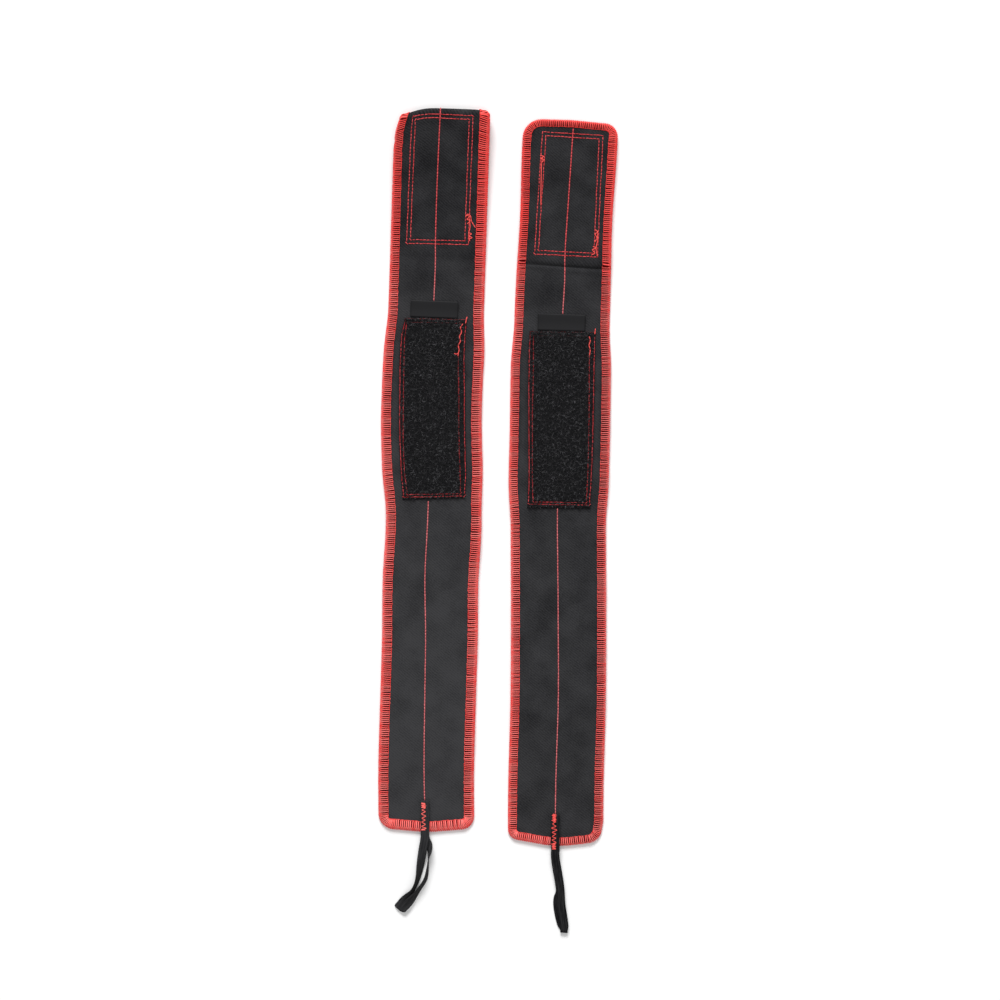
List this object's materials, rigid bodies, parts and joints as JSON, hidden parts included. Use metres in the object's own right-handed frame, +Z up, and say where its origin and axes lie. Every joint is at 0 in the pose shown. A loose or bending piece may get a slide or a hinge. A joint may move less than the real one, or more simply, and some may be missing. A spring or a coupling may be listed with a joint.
{
  "type": "pair of wrist wraps",
  "caption": "Pair of long black cloth wrist wraps with overlocked edges, hook-and-loop closing tabs, folded labels and elastic thumb loops, laid flat face up.",
  "frame": {"origin": "on the table, under the middle of the pair's outline", "axes": "+Y along the wraps from the thumb loops to the closing tabs, +X across to the right wrap, +Z up off the table"},
  "size_m": [0.2004, 0.6952, 0.0125],
  "materials": {
    "cloth": "black twill, matt",
    "overlock_thread": "red overlock thread, satin",
    "sewing_thread": "red sewing thread, satin",
    "loop_pile": "black brushed loop pile",
    "hook_tape": "black nylon hook tape",
    "label": "plain black woven satin",
    "elastic": "black ribbed elastic tape"
  },
  "bodies": {
    "wraps": {"left_back_ply": "cloth", "left_face_ply": "cloth", "left_loop_patch": "loop_pile", "left_loop_stitch_inner": "sewing_thread", "left_loop_stitch_outer": "sewing_thread", "left_neck_seam": "sewing_thread", "left_overlock": "overlock_thread", "left_sewn_end_over": "elastic", "left_sewn_end_under": "elastic", "left_tail_seam": "sewing_thread", "left_thumb_tack": "sewing_thread", "right_back_ply": "cloth", "right_face_ply": "cloth", "right_loop_patch": "loop_pile", "right_loop_stitch_inner": "sewing_thread", "right_loop_stitch_outer": "sewing_thread", "right_neck_seam": "sewing_thread", "right_overlock": "overlock_thread", "right_sewn_end_over": "elastic", "right_sewn_end_under": "elastic", "right_tail_seam": "sewing_thread", "right_thumb_tack": "sewing_thread"},
    "left_tab": {"left_hook_stitch_inner": "sewing_thread", "left_hook_stitch_outer": "sewing_thread", "left_hook_tape": "hook_tape", "left_tab_back_ply": "cloth", "left_tab_face_ply": "cloth", "left_tab_overlock": "overlock_thread", "left_tab_seam": "sewing_thread"},
    "left_label": {"left_label": "label"},
    "left_thumb_loop": {"left_thumb_loop": "elastic"},
    "right_tab": {"right_hook_stitch_inner": "sewing_thread", "right_hook_stitch_outer": "sewing_thread", "right_hook_tape": "hook_tape", "right_tab_back_ply": "cloth", "right_tab_face_ply": "cloth", "right_tab_overlock": "overlock_thread", "right_tab_seam": "sewing_thread"},
    "right_label": {"right_label": "label"},
    "right_thumb_loop": {"right_thumb_loop": "elastic"}
  },
  "joints": [
    {"name": "left_tab_fold", "type": "hinge", "parent": "wraps", "child": "left_tab", "pos_m": [-0.05092, 0.22516, 0.0035], "axis": [0.9995, -0.0326, 0], "range_deg": [0, 160]},
    {"name": "left_label_fold", "type": "hinge", "parent": "wraps", "child": "left_label", "pos_m": [-0.0548, 0.17139, 0.00365], "axis": [0.9992, -0.0398, 0], "range_deg": [0, 150]},
    {"name": "left_thumb_fold", "type": "hinge", "parent": "wraps", "child": "left_thumb_loop", "pos_m": [-0.06156, -0.26283, 0.00555], "axis": [-1, 0.0044, 0], "range_deg": [0, 150]},
    {"name": "right_tab_fold", "type": "hinge", "parent": "wraps", "child": "right_tab", "pos_m": [0.05525, 0.21336, 0.0035], "axis": [0.9992, -0.0406, 0], "range_deg": [0, 160]},
    {"name": "right_label_fold", "type": "hinge", "parent": "wraps", "child": "right_label", "pos_m": [0.05136, 0.15957, 0.00365], "axis": [0.9996, -0.0286, 0], "range_deg": [0, 150]},
    {"name": "right_thumb_fold", "type": "hinge", "parent": "wraps", "child": "right_thumb_loop", "pos_m": [0.04794, -0.27463, 0.00555], "axis": [-1, 0.0071, 0], "range_deg": [0, 150]}
  ]
}
